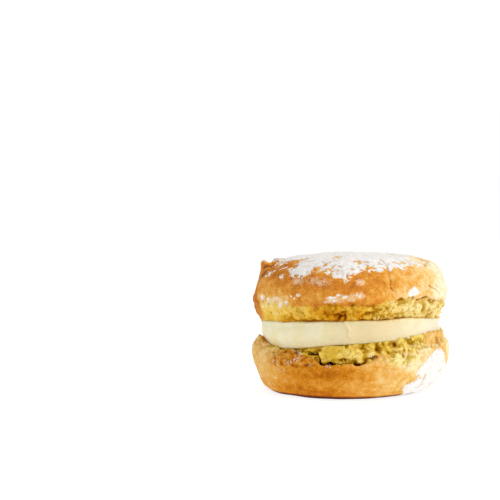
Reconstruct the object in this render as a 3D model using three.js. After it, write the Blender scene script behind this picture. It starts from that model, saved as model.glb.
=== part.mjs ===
// A soft almond sandwich biscuit: two thick round biscuits with browned domed crusts, laid
// flat side to flat side on a disc of butter cream. Each crust ends in a ragged line near the
// cream, and below that line the pale crumb shows, lumpy and cracked. The lower biscuit lies
// dome down, so the part stands on that dome's flattened middle.
//
// Millimetres, +Z up, origin at the middle of the resting face. An azimuth is in degrees seen
// from above: 0 is the front (-Y), 90 the right (+X), 180 the back and 270 the left.

import * as THREE from "three";
import { ImprovedNoise } from "three/addons/math/ImprovedNoise.js";

// ---- Driving dimensions ----

const HEIGHT = 33.15; // resting face to the crown of the upper biscuit
const GAP = 0.12; // clearance between a biscuit and the cream

// Both biscuits are pucks with a round rim. From a nearly flat middle of radius `middle` the rim
// bulges out by `bulge`, is widest `belly` away from the face of the dome, and then turns in
// again to the edge of the flat side.
//
// `crumb` gives the height of the bare crumb between the crust's end and the cream, as pairs of
// azimuth and millimetres. `forms` are local swellings and hollows of the rim: azimuth, height,
// half width in degrees, half height in millimetres, and how far they stand out (in, below
// zero). `crumbly` places have a share of the crumb's roughness in the crust, and where it is
// `calm` the crumb has less of it. `undercut` is where the crust's broken end overhangs the
// crumb. `lean` is how far to the right and back the dome's face lies off the biscuit's middle.
// `curl` is where the edge of the flat side rises past the end of the cream.
const UPPER = {
  name: "upper_biscuit",
  colour: 0xd49345,
  seed: 3,
  middle: 14.4,
  bulge: 8.9,
  deep: 0.975, // width front to back, as a share of the width from side to side
  crown: 0.75, // how much higher the dome's centre is than the start of the rim
  belly: 10.2,
  edge: 21.4, // radius where the rim meets the flat side
  edgeToRight: -0.4, // how much further out that edge is on the right than in front
  crumb: [
    [0, 4.1], [14, 4], [24, 4.8], [42, 5.3], [62, 4.8], [90, 4.2], [140, 5], [180, 3.6],
    [230, 4.6], [270, 4.4], [303, 5.2], [322, 4.2], [335, 4],
  ],
  forms: [
    { at: 259, height: 21, wide: 12, tall: 2.8, out: 0.85 }, // bulge behind the crease on the left
    { at: 272, height: 24.6, wide: 3.6, tall: 6, out: -0.5 }, // the crease
    { at: 264, height: 24.8, wide: 15, tall: 1.2, out: -0.9 }, // hollow above the bulge
    { at: 266, height: 29.5, wide: 3.2, tall: 0.8, out: 2.7 }, // flap of crust that stands up
    { at: 266, height: 27.6, wide: 7, tall: 1.4, out: 0.4 }, // root of the flap
    { at: 276, height: 30.2, wide: 24, tall: 3, out: -1.08 }, // sloping left shoulder
    { at: 88, height: 30, wide: 17, tall: 2, out: 0.4 }, // square right shoulder
    { at: 80, height: 32.2, wide: 28, tall: 1, out: -0.9 }, // dip inside it
    { at: 74, height: 25, wide: 10, tall: 2.2, out: 0.4 }, // lobe above the fissure
    { at: 70, height: 21.8, wide: 14, tall: 0.7, out: -1.25 }, // fissure on the right
    { at: 43, height: 23.4, wide: 6, tall: 0.6, out: -0.6 }, // hollow under the crust beside it
    { at: 25, height: 27, wide: 2.2, tall: 3.6, out: -0.35 }, // upright crack in the front
    { at: 350, height: 22, wide: 2.5, tall: 0.7, out: -0.8 }, // crevices along the crust's end
    { at: 1, height: 22, wide: 3, tall: 0.6, out: -0.6 },
    { at: 152, height: 27, wide: 12, tall: 4, out: 0.5 }, // swelling at the back
    { at: 205, height: 21.5, wide: 14, tall: 0.9, out: -0.9 }, // fissure at the back
  ],
  crumbly: [{ at: 222, height: 24, wide: 14, tall: 2, share: 0.4 }],
  calm: { at: 308, wide: 34, share: 0.6 },
  undercut: { at: 42, wide: 50, depth: 0.45 },
  lean: { right: 0, back: 0 },
  curl: { at: 272, wide: 14, rise: 0 },
};
const LOWER = {
  name: "lower_biscuit",
  colour: 0xcc8a38,
  seed: 11,
  middle: 15.8,
  bulge: 7.9,
  deep: 0.97,
  crown: 0,
  belly: 9,
  edge: 22.1,
  edgeToRight: 0.4,
  crumb: [
    [0, 4.8], [6, 5.1], [11, 4.1], [17, 2.8], [22, 2.5], [27, 4.3], [35, 3.3], [50, 2.6],
    [75, 2.2], [102, 3.4], [130, 4.9], [160, 3.2], [200, 4.7], [240, 2.2], [265, 0.9],
    [300, 0.5], [324, 0.6], [330, 1.9], [338, 2.2], [343, 3.5], [347, 4.5],
  ],
  forms: [
    { at: 285, height: 10, wide: 18, tall: 2.2, out: 0.35 }, // bulging rim on the left
    { at: 274, height: 11.4, wide: 16, tall: 1.3, out: 0.5 }, // its top
    { at: 272, height: 4.4, wide: 17, tall: 1.5, out: -0.8 }, // notch under it
    { at: 272, height: 1.2, wide: 24, tall: 1.3, out: 0.3 }, // heel under the notch
    { at: 40, height: 1.2, wide: 16, tall: 1.6, out: -0.6 }, // cut-in on the right of the face
    { at: 75, height: 2.6, wide: 40, tall: 2.2, out: -0.35 }, // slimmer right side
    { at: 357, height: 11, wide: 13, tall: 1.7, out: 0.7 }, // block of crumb that stands proud
    { at: 26, height: 12.6, wide: 3, tall: 0.8, out: -1.5 }, // pits in the crumb
    { at: 33, height: 10.7, wide: 2.5, tall: 0.9, out: -1 },
    { at: 36, height: 13, wide: 2.5, tall: 0.6, out: -0.9 },
    { at: 14, height: 10.1, wide: 3, tall: 0.8, out: -1.1 },
    { at: 128, height: 10, wide: 7, tall: 1.2, out: -1.1 },
    { at: 196, height: 10.6, wide: 12, tall: 1, out: -0.9 }, // fissure at the back
  ],
  crumbly: [
    { at: 322, height: 10.2, wide: 24, tall: 2.2, share: 0.55 },
    { at: 62, height: 12.6, wide: 20, tall: 1.5, share: 0.5 },
  ],
  calm: { at: 290, wide: 20, share: 0.3 },
  undercut: { at: 352, wide: 22, depth: 0.8 },
  lean: { right: -1.5, back: -1.6 },
  curl: { at: 272, wide: 14, rise: 1.4 },
};
const CREAM = {
  name: "cream_filling",
  colour: 0xf2e3b8,
  radius: 20.7, // where its side meets its faces
  swell: 0.2, // how far the middle of the side stands out, as a share of the thickness
  deep: 0.985,
};

// The cream's two faces. Each is a tilted plane with one soft swell or dip.
const CREAM_BELOW = { height: 13.4, riseRight: 0.068, riseBack: 0 };
const CREAM_ABOVE = { height: 17.1, riseRight: 0.026, riseBack: -0.05 };
const DIP = { x: -14, y: -14, depth: 0.95, reach: 9 }; // thick lobe of cream at the front left
const DROOP = 0.0003; // the upper biscuit's sides hang lower by this much per square millimetre

// ---- Noise ----

const perlin = new ImprovedNoise();

/** A whole-number lattice place turned into a number from 0 to 1. */
function lattice(x, y, z, seed) {
  let h = Math.imul(x, 374761393) ^ Math.imul(y, 668265263) ^ Math.imul(z, 2246822519 | 0);
  h = Math.imul(h ^ Math.imul(seed, 3266489917 | 0) ^ (h >>> 13), 1274126177);
  return ((h ^ (h >>> 16)) >>> 0) / 4294967296;
}

/** Rounded lumps of about `size` with creases between them: 1 on a lump's top, 0 in a crease. */
function lumps(p, size, seed) {
  const [x, y, z] = [p.x / size, p.y / size, p.z / size];
  const [cx, cy, cz] = [x, y, z].map(Math.floor);
  let nearest = 9;
  let second = 9;
  for (let i = cx - 1; i <= cx + 1; i++)
    for (let j = cy - 1; j <= cy + 1; j++)
      for (let k = cz - 1; k <= cz + 1; k++) {
        const d = Math.hypot(
          i + lattice(i, j, k, seed) - x,
          j + lattice(i, j, k, seed + 1) - y,
          k + lattice(i, j, k, seed + 2) - z,
        );
        second = Math.min(second, Math.max(d, nearest));
        nearest = Math.min(nearest, d);
      }
  return Math.min(1, 1.6 * (second - nearest));
}

/** Smooth noise from about -1 to 1 with waves of about `size`. */
function waves(p, size, seed) {
  return 1.6 * perlin.noise(p.x / size + 7.3 * seed, p.y / size, p.z / size);
}

// ---- Small helpers ----

const bell = (offset, reach) => Math.exp(-((offset / reach) ** 2));
const turn = (a, b) => ((((a - b) % 360) + 540) % 360) - 180; // signed degrees from b to a
const onCircle = (radius, azimuth, z) => {
  const a = THREE.MathUtils.degToRad(azimuth);
  return new THREE.Vector3(radius * Math.sin(a), -radius * Math.cos(a), z);
};

/** Height of the cream's lower face. */
function belowCream(x, y) {
  const dip = DIP.depth * bell(Math.hypot(x - DIP.x, y - DIP.y), DIP.reach);
  return CREAM_BELOW.height + CREAM_BELOW.riseRight * x + CREAM_BELOW.riseBack * y - dip;
}

/** Height of the cream's upper face. */
function aboveCream(x, y) {
  return CREAM_ABOVE.height + CREAM_ABOVE.riseRight * x + CREAM_ABOVE.riseBack * y - DROOP * x * x;
}

/** Joins rings of points, each with its own number of points, into one closed surface. */
function closeRings(rings, topDown) {
  const points = rings.flat();
  const faces = [];
  let start = 0;
  for (let r = 0; r + 1 < rings.length; r++) {
    const [n, m] = [rings[r].length, rings[r + 1].length];
    const next = start + n;
    let i = 0;
    let j = 0;
    while (i < n || j < m) {
      // The ring that is behind moves on by one point. A ring of one point is a pole.
      const outer = n > 1 && i < n && (m === 1 || j >= m || (i + 0.5) / n <= (j + 0.5) / m);
      if (outer) {
        faces.push([start + (i % n), start + ((i + 1) % n), next + (j % m)]);
        i++;
      } else {
        if (m > 1) faces.push([start + (i % n), next + ((j + 1) % m), next + (j % m)]);
        j++;
      }
      if ((n === 1 && j >= m) || (m === 1 && i >= n)) break;
    }
    start = next;
  }
  if (topDown) for (const face of faces) face.reverse();
  const geometry = new THREE.BufferGeometry().setFromPoints(points);
  geometry.setIndex(faces.flat());
  return geometry;
}

/** One ring: `count` points, the one at azimuth a given by place(a). */
const ring = (count, place) => Array.from({ length: count }, (_, i) => place((360 * i) / count));

// ---- A biscuit ----

/** Height of the crumb band at an azimuth, from its list of pairs. */
function bandAt(azimuth, pairs) {
  const next = pairs.findIndex(([at]) => at > azimuth);
  const [from, low] = pairs.at(next < 0 ? -1 : next - 1);
  const [to, high] = next < 0 ? [360, pairs[0][1]] : pairs[next];
  return low + (high - low) * THREE.MathUtils.smoothstep(azimuth, from, to);
}

/** How far the crust's end strays from its usual height, at an angle in radians. */
const ragged = (a, seed) =>
  0.2 * Math.sin(9 * a + seed) + 0.2 * Math.sin(23 * a + 2 * seed) + 0.15 * Math.sin(38 * a);

/** Makes a biscuit. `up` is 1 with the dome on top, -1 with the dome below. */
function biscuit(spec, up) {
  const dome = up > 0 ? HEIGHT : 0; // height of the dome's face
  const creamFace = up > 0 ? aboveCream : belowCream;
  const squash = (p) => new THREE.Vector3(p.x, p.y * spec.deep, p.z);

  function leanOver(point, share) {
    point.x += spec.lean.right * share;
    point.y += spec.lean.back * share;
    return point;
  }

  /** What the rim needs to know at an azimuth. Angles round it are 90 at the widest place. */
  function cut(azimuth) {
    const a = THREE.MathUtils.degToRad(azimuth);
    const radius = spec.edge + spec.edgeToRight * Math.sin(a);
    const edge = squash(onCircle(radius, azimuth, 0));
    const depth = up * (dome - creamFace(edge.x, edge.y)) - GAP;
    const last = Math.PI - Math.asin((radius - spec.middle) / spec.bulge);
    const rise = spec.curl.rise * bell(turn(azimuth, spec.curl.at), spec.curl.wide);
    const halves = [spec.belly - spec.crown, (depth - spec.belly) / -Math.cos(last)];
    const band = Math.max(0.4, bandAt(azimuth, spec.crumb) + ragged(a, spec.seed));
    const past = depth - band - spec.belly;
    const crust = 90 + THREE.MathUtils.radToDeg(Math.asin(past / halves[past < 0 ? 0 : 1]));
    return { radius, halves, crust, rise, last: THREE.MathUtils.radToDeg(last) };
  }

  /** A point of the outer surface with its relief; `share` goes from 0 to 1 over the crumb. */
  function surface(azimuth, { halves, rise }, angle, share) {
    const t = THREE.MathUtils.degToRad(angle);
    const half = halves[angle < 90 ? 0 : 1];
    const depth = spec.belly - half * Math.cos(t);
    const point = onCircle(spec.middle + spec.bulge * Math.sin(t), azimuth, dome - up * depth);
    if (angle < 90) leanOver(point, 1 - Math.sin(t));
    const out = onCircle(Math.sin(t) / spec.bulge, azimuth, (up * Math.cos(t)) / half).normalize();
    const near = (f) => bell(turn(azimuth, f.at), f.wide) * bell(point.z - f.height, f.tall);

    let lift = 0.3 * waves(point, 9, spec.seed) + 0.1 * waves(point, 3.5, spec.seed);
    for (const form of spec.forms) lift += form.out * near(form);
    const calm = spec.calm.share * bell(turn(azimuth, spec.calm.at), spec.calm.wide);
    let bare = share > 0 ? (1 - 0.5 * share ** 6) * (1 - calm) : 0;
    for (const place of spec.crumbly) bare = Math.max(bare, place.share * near(place));
    const clod = 0.75 * lumps(point, 2.5, spec.seed) + 0.35 * lumps(point, 1.3, spec.seed + 7);
    lift += bare * (clod - 0.9);
    const { at, wide, depth: inward } = spec.undercut;
    if (share > 0) lift -= inward * bell(turn(azimuth, at), wide) * bell(share, 0.2);
    return hold(squash(point.addScaledVector(out, lift)), rise * Math.sqrt(share));
  }

  /** The flat side, which follows the cream. */
  function flatSide(radius, azimuth) {
    const p = squash(onCircle(radius, azimuth, 0));
    p.z = creamFace(p.x, p.y) + (up * GAP) / 2;
    return p;
  }

  /** Keeps a point on the biscuit's own side of the cream and off the floor, and lifts it. */
  function hold(p, rise) {
    const face = creamFace(p.x, p.y) + (up * GAP) / 2;
    p.z = up > 0 ? Math.max(p.z, face) : Math.min(Math.max(p.z, 0), face) + rise;
    return p;
  }

  /** The dome's middle: the crown of the upper biscuit, or the face the lower one stands on. */
  function middle(radius, azimuth) {
    const p = onCircle(radius, azimuth, 0);
    p.z = dome - spec.crown * (radius / spec.middle) ** 2;
    if (up > 0) p.z += 0.16 * waves(p, 7, spec.seed) * bell(radius, 12) - 0.1;
    return squash(leanOver(p, 1));
  }

  const rings = [[middle(0, 0)]];
  for (let k = 1; k <= 5; k++) rings.push(ring(10 * k, (a) => middle((spec.middle * k) / 5, a)));
  const crustRings = 11;
  for (let k = 1; k <= crustRings; k++) {
    const place = (a) => {
      const at = cut(a);
      return surface(a, at, (at.crust * k) / crustRings, 0);
    };
    rings.push(ring(k < 3 ? 60 + 14 * k : k < 9 ? 96 : 32 * (k - 6), place));
  }
  const crumbRings = 8;
  for (let k = 0; k <= crumbRings; k++) {
    const share = 0.06 + (0.94 * k) / crumbRings;
    const place = (a) => {
      const at = cut(a);
      return surface(a, at, at.crust + (at.last - at.crust) * share, share);
    };
    rings.push(ring(160, place));
  }
  rings.push(ring(96, (a) => flatSide(cut(a).radius - 1.2, a)));
  for (let k = 4; k >= 1; k--) rings.push(ring(12 * k, (a) => flatSide(4 * k, a)));
  rings.push([flatSide(0, 0)]);
  return mesh(spec, closeRings(rings, up > 0));
}

// ---- The cream ----

/** Makes the disc of cream, which swells between the two biscuits. */
function cream(spec) {
  const faces = (radius, azimuth) => {
    const p = onCircle(radius, azimuth, 0);
    p.y *= spec.deep;
    return { p, low: belowCream(p.x, p.y) + GAP / 2, high: aboveCream(p.x, p.y) - GAP / 2 };
  };
  const place = (radius, azimuth, share) => {
    const { p, low, high } = faces(radius, azimuth);
    p.z = low + (high - low) * share;
    return p;
  };
  const side = (azimuth, share) => {
    const { low, high } = faces(spec.radius, azimuth);
    const round = Math.sqrt(Math.max(0, 1 - (2 * share - 1) ** 2));
    const uneven = 0.3 * waves(onCircle(3, azimuth, 0), 2, 2);
    const ridge = 0.22 * bell(turn(azimuth, 358), 1.8);
    const roundedUnder = 0.8 * bell(turn(azimuth, 290), 45) * bell(share, 0.25);
    const out = spec.swell * (high - low) * round + uneven + ridge - roundedUnder;
    return place(spec.radius + out, azimuth, share);
  };
  const rings = [[place(0, 0, 1)]];
  for (let k = 1; k <= 5; k++) rings.push(ring(12 * k, (a) => place(3.8 * k, a, 1)));
  const steps = 7;
  for (let k = 0; k <= steps; k++)
    rings.push(ring(96, (a) => side(a, 0.5 + 0.5 * Math.cos((Math.PI * k) / steps))));
  for (let k = 5; k >= 1; k--) rings.push(ring(12 * k, (a) => place(3.8 * k, a, 0)));
  rings.push([place(0, 0, 0)]);
  return mesh(spec, closeRings(rings, true));
}

function mesh(spec, geometry) {
  geometry.computeVertexNormals();
  const material = new THREE.MeshStandardMaterial({
    color: spec.colour,
    roughness: 0.75,
    metalness: 0,
  });
  const made = new THREE.Mesh(geometry, material);
  made.name = spec.name;
  return made;
}

const sandwich = new THREE.Group();
sandwich.add(biscuit(LOWER, -1), cream(CREAM), biscuit(UPPER, 1));

// The origin is the middle of the outline seen from above.
const box = new THREE.Box3().setFromObject(sandwich);
const middle = box.getCenter(new THREE.Vector3());
sandwich.position.set(-middle.x, -middle.y, -box.min.z);

export default sandwich;
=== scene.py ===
"""Looks of the soft almond sandwich biscuit: crusts, crumb, butter cream, sugar, light and camera.

Every piece starts from the CAD solid that it stands for and gets its fine relief here. Lengths in
the arrays are millimetres; meshes, lights and the camera are in metres. An azimuth is in degrees
seen from above: 0 is the front (-Y), 90 the right (+X), 180 the back and 270 the left.
"""

import math

import bmesh
import bpy
import numpy as np
from mathutils import Matrix, Vector, noise


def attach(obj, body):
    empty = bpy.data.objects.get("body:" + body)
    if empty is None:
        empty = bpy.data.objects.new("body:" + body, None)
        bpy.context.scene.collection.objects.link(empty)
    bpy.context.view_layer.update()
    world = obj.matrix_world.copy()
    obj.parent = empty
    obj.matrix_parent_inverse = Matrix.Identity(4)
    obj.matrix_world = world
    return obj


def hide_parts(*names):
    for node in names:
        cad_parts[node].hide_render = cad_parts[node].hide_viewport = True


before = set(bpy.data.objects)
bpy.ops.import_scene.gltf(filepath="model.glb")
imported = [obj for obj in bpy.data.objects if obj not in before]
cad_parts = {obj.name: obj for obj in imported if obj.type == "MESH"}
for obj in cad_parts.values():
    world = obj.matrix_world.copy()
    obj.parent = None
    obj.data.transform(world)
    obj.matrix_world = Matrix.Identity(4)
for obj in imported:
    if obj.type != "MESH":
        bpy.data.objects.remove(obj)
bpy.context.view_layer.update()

MM = 0.001
noise.seed_set(1)  # without it noise_vector takes its seed from the clock

# ---- Camera ----

PHOTO_SIZE = 500  # pixels, both ways
AIM = Vector((0, 0, 16.4 * MM))  # the middle of the stack
AIM_PIXEL = (350, 321.2)  # where the photograph has it
CAMERA_DISTANCE = 337 * MM
CAMERA_ELEVATION = math.radians(5.5)
LENS, SENSOR = 100, 36  # millimetres


def make_camera():
    """A camera without roll that looks past the object, so that AIM lands on AIM_PIXEL."""
    data = bpy.data.cameras.new("camera")
    data.lens, data.sensor_width, data.clip_start = LENS, SENSOR, 0.01
    camera = bpy.data.objects.new("camera", data)
    bpy.context.scene.collection.objects.link(camera)
    bpy.context.scene.camera = camera
    reach = CAMERA_DISTANCE * math.cos(CAMERA_ELEVATION)
    camera.location = AIM + Vector((0, -reach, CAMERA_DISTANCE * math.sin(CAMERA_ELEVATION)))

    pixels = LENS / SENSOR * PHOTO_SIZE  # focal length in pixels
    right = (AIM_PIXEL[0] - PHOTO_SIZE / 2) / pixels
    up = (PHOTO_SIZE / 2 - AIM_PIXEL[1]) / pixels
    seen = Vector((right, up, -1)).normalized()  # towards AIM, as the camera sees it
    wanted = (AIM - camera.location).normalized()
    tilt = math.asin(wanted.z / math.hypot(seen.y, seen.z)) + math.atan2(-seen.z, seen.y)
    tilted = Matrix.Rotation(tilt, 3, "X") @ seen
    turn = math.atan2(wanted.y, wanted.x) - math.atan2(tilted.y, tilted.x)
    camera.rotation_euler = (tilt, 0, turn)


# ---- Light and floor ----

FLOOR_GLOW = 0.86  # the floor is a lit studio table
FLOOR_FLAT, FLOOR_BEND = 1.2, 0.3  # metres: radius of the flat floor, and of the bend up from it
SKY = 0.4
# Lamps that face the stack: name, place, size, power and colour.
LAMPS = [
    ("key", (0.6, -0.25, 0.4), 0.3, 2.35, (1, 0.98, 0.94)),
    ("back", (0.2, 0.6, 0.6), 0.4, 1.2, (1, 1, 1)),
    ("top", (-0.15, -0.2, 0.7), 0.5, 1.3, (1, 1, 1)),
]


def make_floor():
    """A round pale floor that curves up into a wall all the way round."""
    sides, steps, middle = 64, 12, 0.2
    profile = [(middle, 0), (FLOOR_FLAT, 0)]
    for step in range(1, steps + 1):
        a = math.pi / 2 * step / steps
        profile.append((FLOOR_FLAT + FLOOR_BEND * math.sin(a), FLOOR_BEND * (1 - math.cos(a))))
    verts = []
    for radius, height in profile:
        for side in range(sides):
            a = 2 * math.pi * side / sides
            verts.append((radius * math.cos(a), radius * math.sin(a), height))
    faces = [tuple(range(sides))]
    for ring in range(len(profile) - 1):
        low, high = ring * sides, (ring + 1) * sides
        for side in range(sides):
            after = (side + 1) % sides
            faces.append((low + side, high + side, high + after, low + after))
    mesh = bpy.data.meshes.new("floor")
    mesh.from_pydata(verts, [], faces)
    mesh.shade_smooth()
    floor = bpy.data.objects.new("floor", mesh)
    bpy.context.scene.collection.objects.link(floor)
    build = Shader("floor_paper")
    build.surface(base=(0.25, 0.25, 0.25, 1), roughness=0.9, specular=0.1)
    build.out.inputs["Emission Color"].default_value = (1, 1, 1, 1)
    build.out.inputs["Emission Strength"].default_value = FLOOR_GLOW
    mesh.materials.append(build.material)


def area_light(name, place, size, power, colour):
    """A square lamp that faces the middle of the stack."""
    data = bpy.data.lights.new(name, "AREA")
    data.size, data.energy, data.color = size, power, colour
    lamp = bpy.data.objects.new(name, data)
    lamp.location = place
    lamp.rotation_euler = (AIM - Vector(place)).to_track_quat("-Z", "Y").to_euler()
    bpy.context.scene.collection.objects.link(lamp)


def make_light():
    """Sky, lamps, and colours shown as they are."""
    world = bpy.data.worlds.new("studio")
    bpy.context.scene.world = world
    world.use_nodes = True
    background = world.node_tree.nodes["Background"]
    background.inputs["Color"].default_value = (1, 0.99, 0.975, 1)
    background.inputs["Strength"].default_value = SKY
    for lamp in LAMPS:
        area_light(*lamp)
    bpy.context.scene.view_settings.view_transform = "Standard"
    bpy.context.scene.view_settings.look = "None"


# ---- Shader building ----


class Shader:
    """Builds one node material. Sizes of textures are given in millimetres."""

    def __init__(self, name):
        self.material = bpy.data.materials.new(name)
        self.material.use_nodes = True
        self.tree = self.material.node_tree
        self.out = self.tree.nodes["Principled BSDF"]
        self.place = self.tree.nodes.new("ShaderNodeTexCoord").outputs["Object"]

    def add(self, kind, inputs=(), **settings):
        node = self.tree.nodes.new("ShaderNode" + kind)
        for key, value in settings.items():
            setattr(node, key, value)
        for key, value in dict(inputs).items():
            self.put(node.inputs[key], value)
        return node

    def put(self, socket, value):
        if isinstance(value, bpy.types.NodeSocket):
            self.tree.links.new(value, socket)
        else:
            socket.default_value = value

    def attribute(self, name):
        return self.add("Attribute", attribute_name=name).outputs["Fac"]

    def math(self, operation, a, b=0.0, c=0.0):
        return self.add("Math", {0: a, 1: b, 2: c}, operation=operation).outputs[0]

    def grain(self, size, detail=3, roughness=0.55, shift=0.0):
        """Smooth noise around 0.5, with waves of about `size` millimetres."""
        moved = self.add("VectorMath", {0: self.place, 1: (shift, shift, shift)}, operation="ADD")
        inputs = {"Vector": moved.outputs[0], "Scale": 1 / (size * MM), "Detail": detail}
        inputs["Roughness"] = roughness
        return self.add("TexNoise", inputs).outputs["Fac"]

    def stray(self, reach, *grain):
        """Smooth noise from -reach to reach."""
        return self.math("MULTIPLY_ADD", self.grain(*grain), 2 * reach, -reach)

    def uneven(self, low, high, size):
        """Smooth noise from low to high."""
        return self.math("MULTIPLY_ADD", self.grain(size), high - low, low)

    def ramp(self, value, stops):
        """A colour ramp over `stops`, each a place and a linear colour or grey value."""
        node = self.add("ValToRGB", {"Fac": value})
        marks = node.color_ramp.elements
        while len(marks) < len(stops):
            marks.new(1.0)
        for mark, (place, colour) in zip(marks, stops):
            mark.position = place
            mark.color = colour if hasattr(colour, "__len__") else (colour, colour, colour, 1)
        return node.outputs["Color"]

    def step(self, value, low, high):
        """0 below low, 1 above high, smooth between."""
        inputs = {"Value": value, "From Min": low, "From Max": high}
        return self.add("MapRange", inputs, interpolation_type="SMOOTHSTEP").outputs["Result"]

    def mix(self, factor, a, b, blend="MIX"):
        node = self.add("Mix", data_type="RGBA", blend_type=blend, clamp_factor=True)
        for socket, value in zip((node.inputs[0], node.inputs[6], node.inputs[7]), (factor, a, b)):
            self.put(socket, value)
        return node.outputs[2]

    def bump(self, heights):
        """Chains bumps: each is a height socket, its strength and its depth in millimetres."""
        normal = None
        for height, strength, depth in heights:
            inputs = {"Height": height, "Strength": strength, "Distance": depth * MM}
            if normal is not None:
                inputs["Normal"] = normal
            normal = self.add("Bump", inputs).outputs["Normal"]
        self.put(self.out.inputs["Normal"], normal)

    def surface(self, base, roughness, specular, soft=0.0, radius=(1, 1, 1)):
        """Sets the surface. `soft` is the share of light that spreads inside, `radius` in mm."""
        self.put(self.out.inputs["Base Color"], base)
        self.put(self.out.inputs["Roughness"], roughness)
        self.out.inputs["Specular IOR Level"].default_value = specular
        self.out.inputs["Subsurface Weight"].default_value = soft
        self.out.inputs["Subsurface Radius"].default_value = radius
        self.out.inputs["Subsurface Scale"].default_value = MM


def srgb(red, green, blue):
    """A linear colour from 0 to 255 screen values."""
    linear = [c / 255 for c in (red, green, blue)]
    return (*[c / 12.92 if c <= 0.04045 else ((c + 0.055) / 1.055) ** 2.4 for c in linear], 1)


# ---- Colours ----

# Crust and crumb from pale, 0, to dark, 1.
UPPER_CRUST = [
    (0.0, srgb(252, 238, 206)),
    (0.25, srgb(245, 207, 134)),
    (0.5, srgb(233, 163, 62)),
    (0.75, srgb(208, 124, 40)),
    (1.0, srgb(152, 90, 38)),
]
LOWER_CRUST = [
    (0.0, srgb(250, 234, 190)),
    (0.25, srgb(241, 202, 126)),
    (0.5, srgb(231, 168, 72)),
    (0.75, srgb(215, 135, 20)),
    (1.0, srgb(178, 95, 6)),
]
UPPER_CRUMB = [
    (0.0, srgb(249, 226, 158)),
    (0.3, srgb(241, 200, 84)),
    (0.55, srgb(224, 162, 30)),
    (0.8, srgb(190, 114, 0)),
    (1.0, srgb(128, 74, 0)),
]
LOWER_CRUMB = [
    (0.0, srgb(249, 228, 156)),
    (0.3, srgb(238, 206, 98)),
    (0.55, srgb(222, 180, 54)),
    (0.8, srgb(180, 138, 18)),
    (1.0, srgb(116, 88, 4)),
]
# Painted shade that cracks and hollows multiply the colour by, from open, 0, to deepest, 1; the one for
# cracks also darkens the lower biscuit's foot.
PAINTED_CRACK_SHADES = [(0, 1), (0.5, srgb(205, 165, 110)), (1, srgb(92, 56, 20))]
PAINTED_HOLLOW_SHADES = [(0.05, 1), (0.5, srgb(214, 196, 128)), (1, srgb(158, 132, 54))]
# Films of sugar: where each starts and is full, the share that it hides, and its colour.
SUGAR_FILMS = [(0.22, 0.45, 0.6, srgb(249, 219, 176)), (0.5, 0.62, 0.95, srgb(253, 246, 240))]
SUGAR_TONES = [(0.32, srgb(242, 231, 222)), (0.6, srgb(254, 252, 249))]
CREAM_TONES = [(0.3, srgb(249, 229, 175)), (0.7, srgb(255, 245, 214))]
CREAM_PAINTED_SHADE = srgb(236, 216, 168)  # painted shade, in front
CREAM_PAINTED_GLARE = srgb(240, 230, 210)  # painted light: a paler, less yellow tint on the right
CREAM_PAINTED_EDGE_SHADE = srgb(222, 186, 96)  # painted shade along its edges, beside the crumb


# ---- The stack's form, repeated from the solids ----

# Edge of each biscuit's flat side: radius, what that gains on the right and loses on the left,
# and its depth as a share of its width.
RIM_EDGE = {"upper": (21.4, -0.4, 0.975), "lower": (22.1, 0.4, 0.97)}
# Height of the bare crumb between the crust's end and the cream: azimuth, millimetres.
CRUMB = {
    "upper": [
        (0, 4.1), (14, 4), (24, 4.8), (42, 5.3), (62, 4.8), (90, 4.2), (140, 5), (180, 3.6),
        (230, 4.6), (270, 4.4), (303, 5.2), (322, 4.2), (335, 4), (360, 4.1),
    ],
    "lower": [
        (0, 4.8), (6, 5.1), (11, 4.1), (17, 2.8), (22, 2.5), (27, 4.3), (35, 3.3), (50, 2.6),
        (75, 2.2), (102, 3.4), (130, 4.9), (160, 3.2), (200, 4.7), (240, 2.2), (265, 0.9),
        (300, 0.5), (324, 0.6), (330, 1.9), (338, 2.2), (343, 3.5), (347, 4.5), (360, 4.8),
    ],
}
RAGGED_SEED = {"upper": 3, "lower": 11}

# The cream's faces: height in the middle, and rise per millimetre to the right and to the back.
CREAM_TOP = (17.1, 0.026, -0.05)
CREAM_BOTTOM = (13.4, 0.068, 0)
DROOP = 0.0003  # the upper face bends down by this times the square of the way to the side
DIP = (-14, -14, 0.95, 9)  # thick lobe of cream at the front left: x, y, depth and reach


def cream_top(x, y):
    """Height of the cream's upper face."""
    height, right, back = CREAM_TOP
    return height + right * x + back * y - DROOP * x * x


def cream_bottom(x, y):
    """Height of the cream's lower face."""
    height, right, back = CREAM_BOTTOM
    dip_x, dip_y, depth, reach = DIP
    return height + right * x + back * y - depth * bell(np.hypot(x - dip_x, y - dip_y), reach)


def interpolated(pairs, wanted):
    """Value at each wanted place, from pairs of a place and a value."""
    place, value = np.array(pairs).T
    return np.interp(wanted, place, value)


# How far the cream's upper edge rises or dips there: azimuth, millimetres.
WAVES = [
    (0, 0), (8, 0.05), (18, -0.12), (27, 0.05), (35, 0.3), (41, 0.4), (45, 0.15), (52, 0.1),
    (62, -0.15), (80, -0.3), (100, 0), (150, 0.2), (180, 0), (220, -0.2), (260, 0.1), (290, 0),
    (306, 0.1), (314, -0.12), (324, 0.08), (332, -0.1), (344, 0.08), (352, -0.05), (360, 0),
]


def wave(p, off):
    """Lift of the cream's upper edge at points `off` millimetres away from it."""
    return interpolated(WAVES, p.azimuth) * bell(off, 1.2) * rise(p.radius, 17, 20)


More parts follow.
